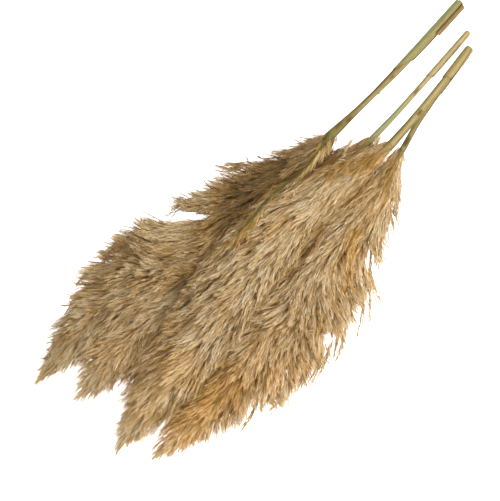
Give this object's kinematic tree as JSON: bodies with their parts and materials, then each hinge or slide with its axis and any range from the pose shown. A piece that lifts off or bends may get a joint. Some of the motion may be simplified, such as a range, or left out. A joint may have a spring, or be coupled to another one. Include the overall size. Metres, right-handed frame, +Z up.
{
  "type": "bundle of pampas grass",
  "caption": "Cut and dried pampas grass stems with full feathery plumes, lying side by side as a loose bundle.",
  "frame": {"origin": "on the surface the bundle lies on, under the middle of its bounding box", "axes": "+X from the plume tips to the cut ends of the stems, +Z up from the surface, +Y to the left of the stems"},
  "size_m": [0.7758, 0.3222, 0.0886],
  "materials": {
    "culm": "smooth dried stalk, green with straw streaks",
    "sheath": "dry papery leaf sheath with fine lengthwise veins",
    "leaf": "dry torn leaf base",
    "plume_dark": "soft silky racemes",
    "plume_tan": "soft silky racemes",
    "plume_pale": "soft silky racemes",
    "plume_warm": "soft silky racemes"
  },
  "bodies": {
    "root": {"culm_1": "culm", "culm_2": "culm", "culm_3": "culm", "culm_4": "culm", "sheath_1": "sheath", "sheath_2": "sheath", "sheath_3": "sheath", "sheath_4": "sheath", "leaf_base_1": "leaf", "plume_1": "plume_dark", "plume_2": "plume_tan", "plume_3": "plume_pale", "plume_4": "plume_warm"}
  },
  "joints": []
}
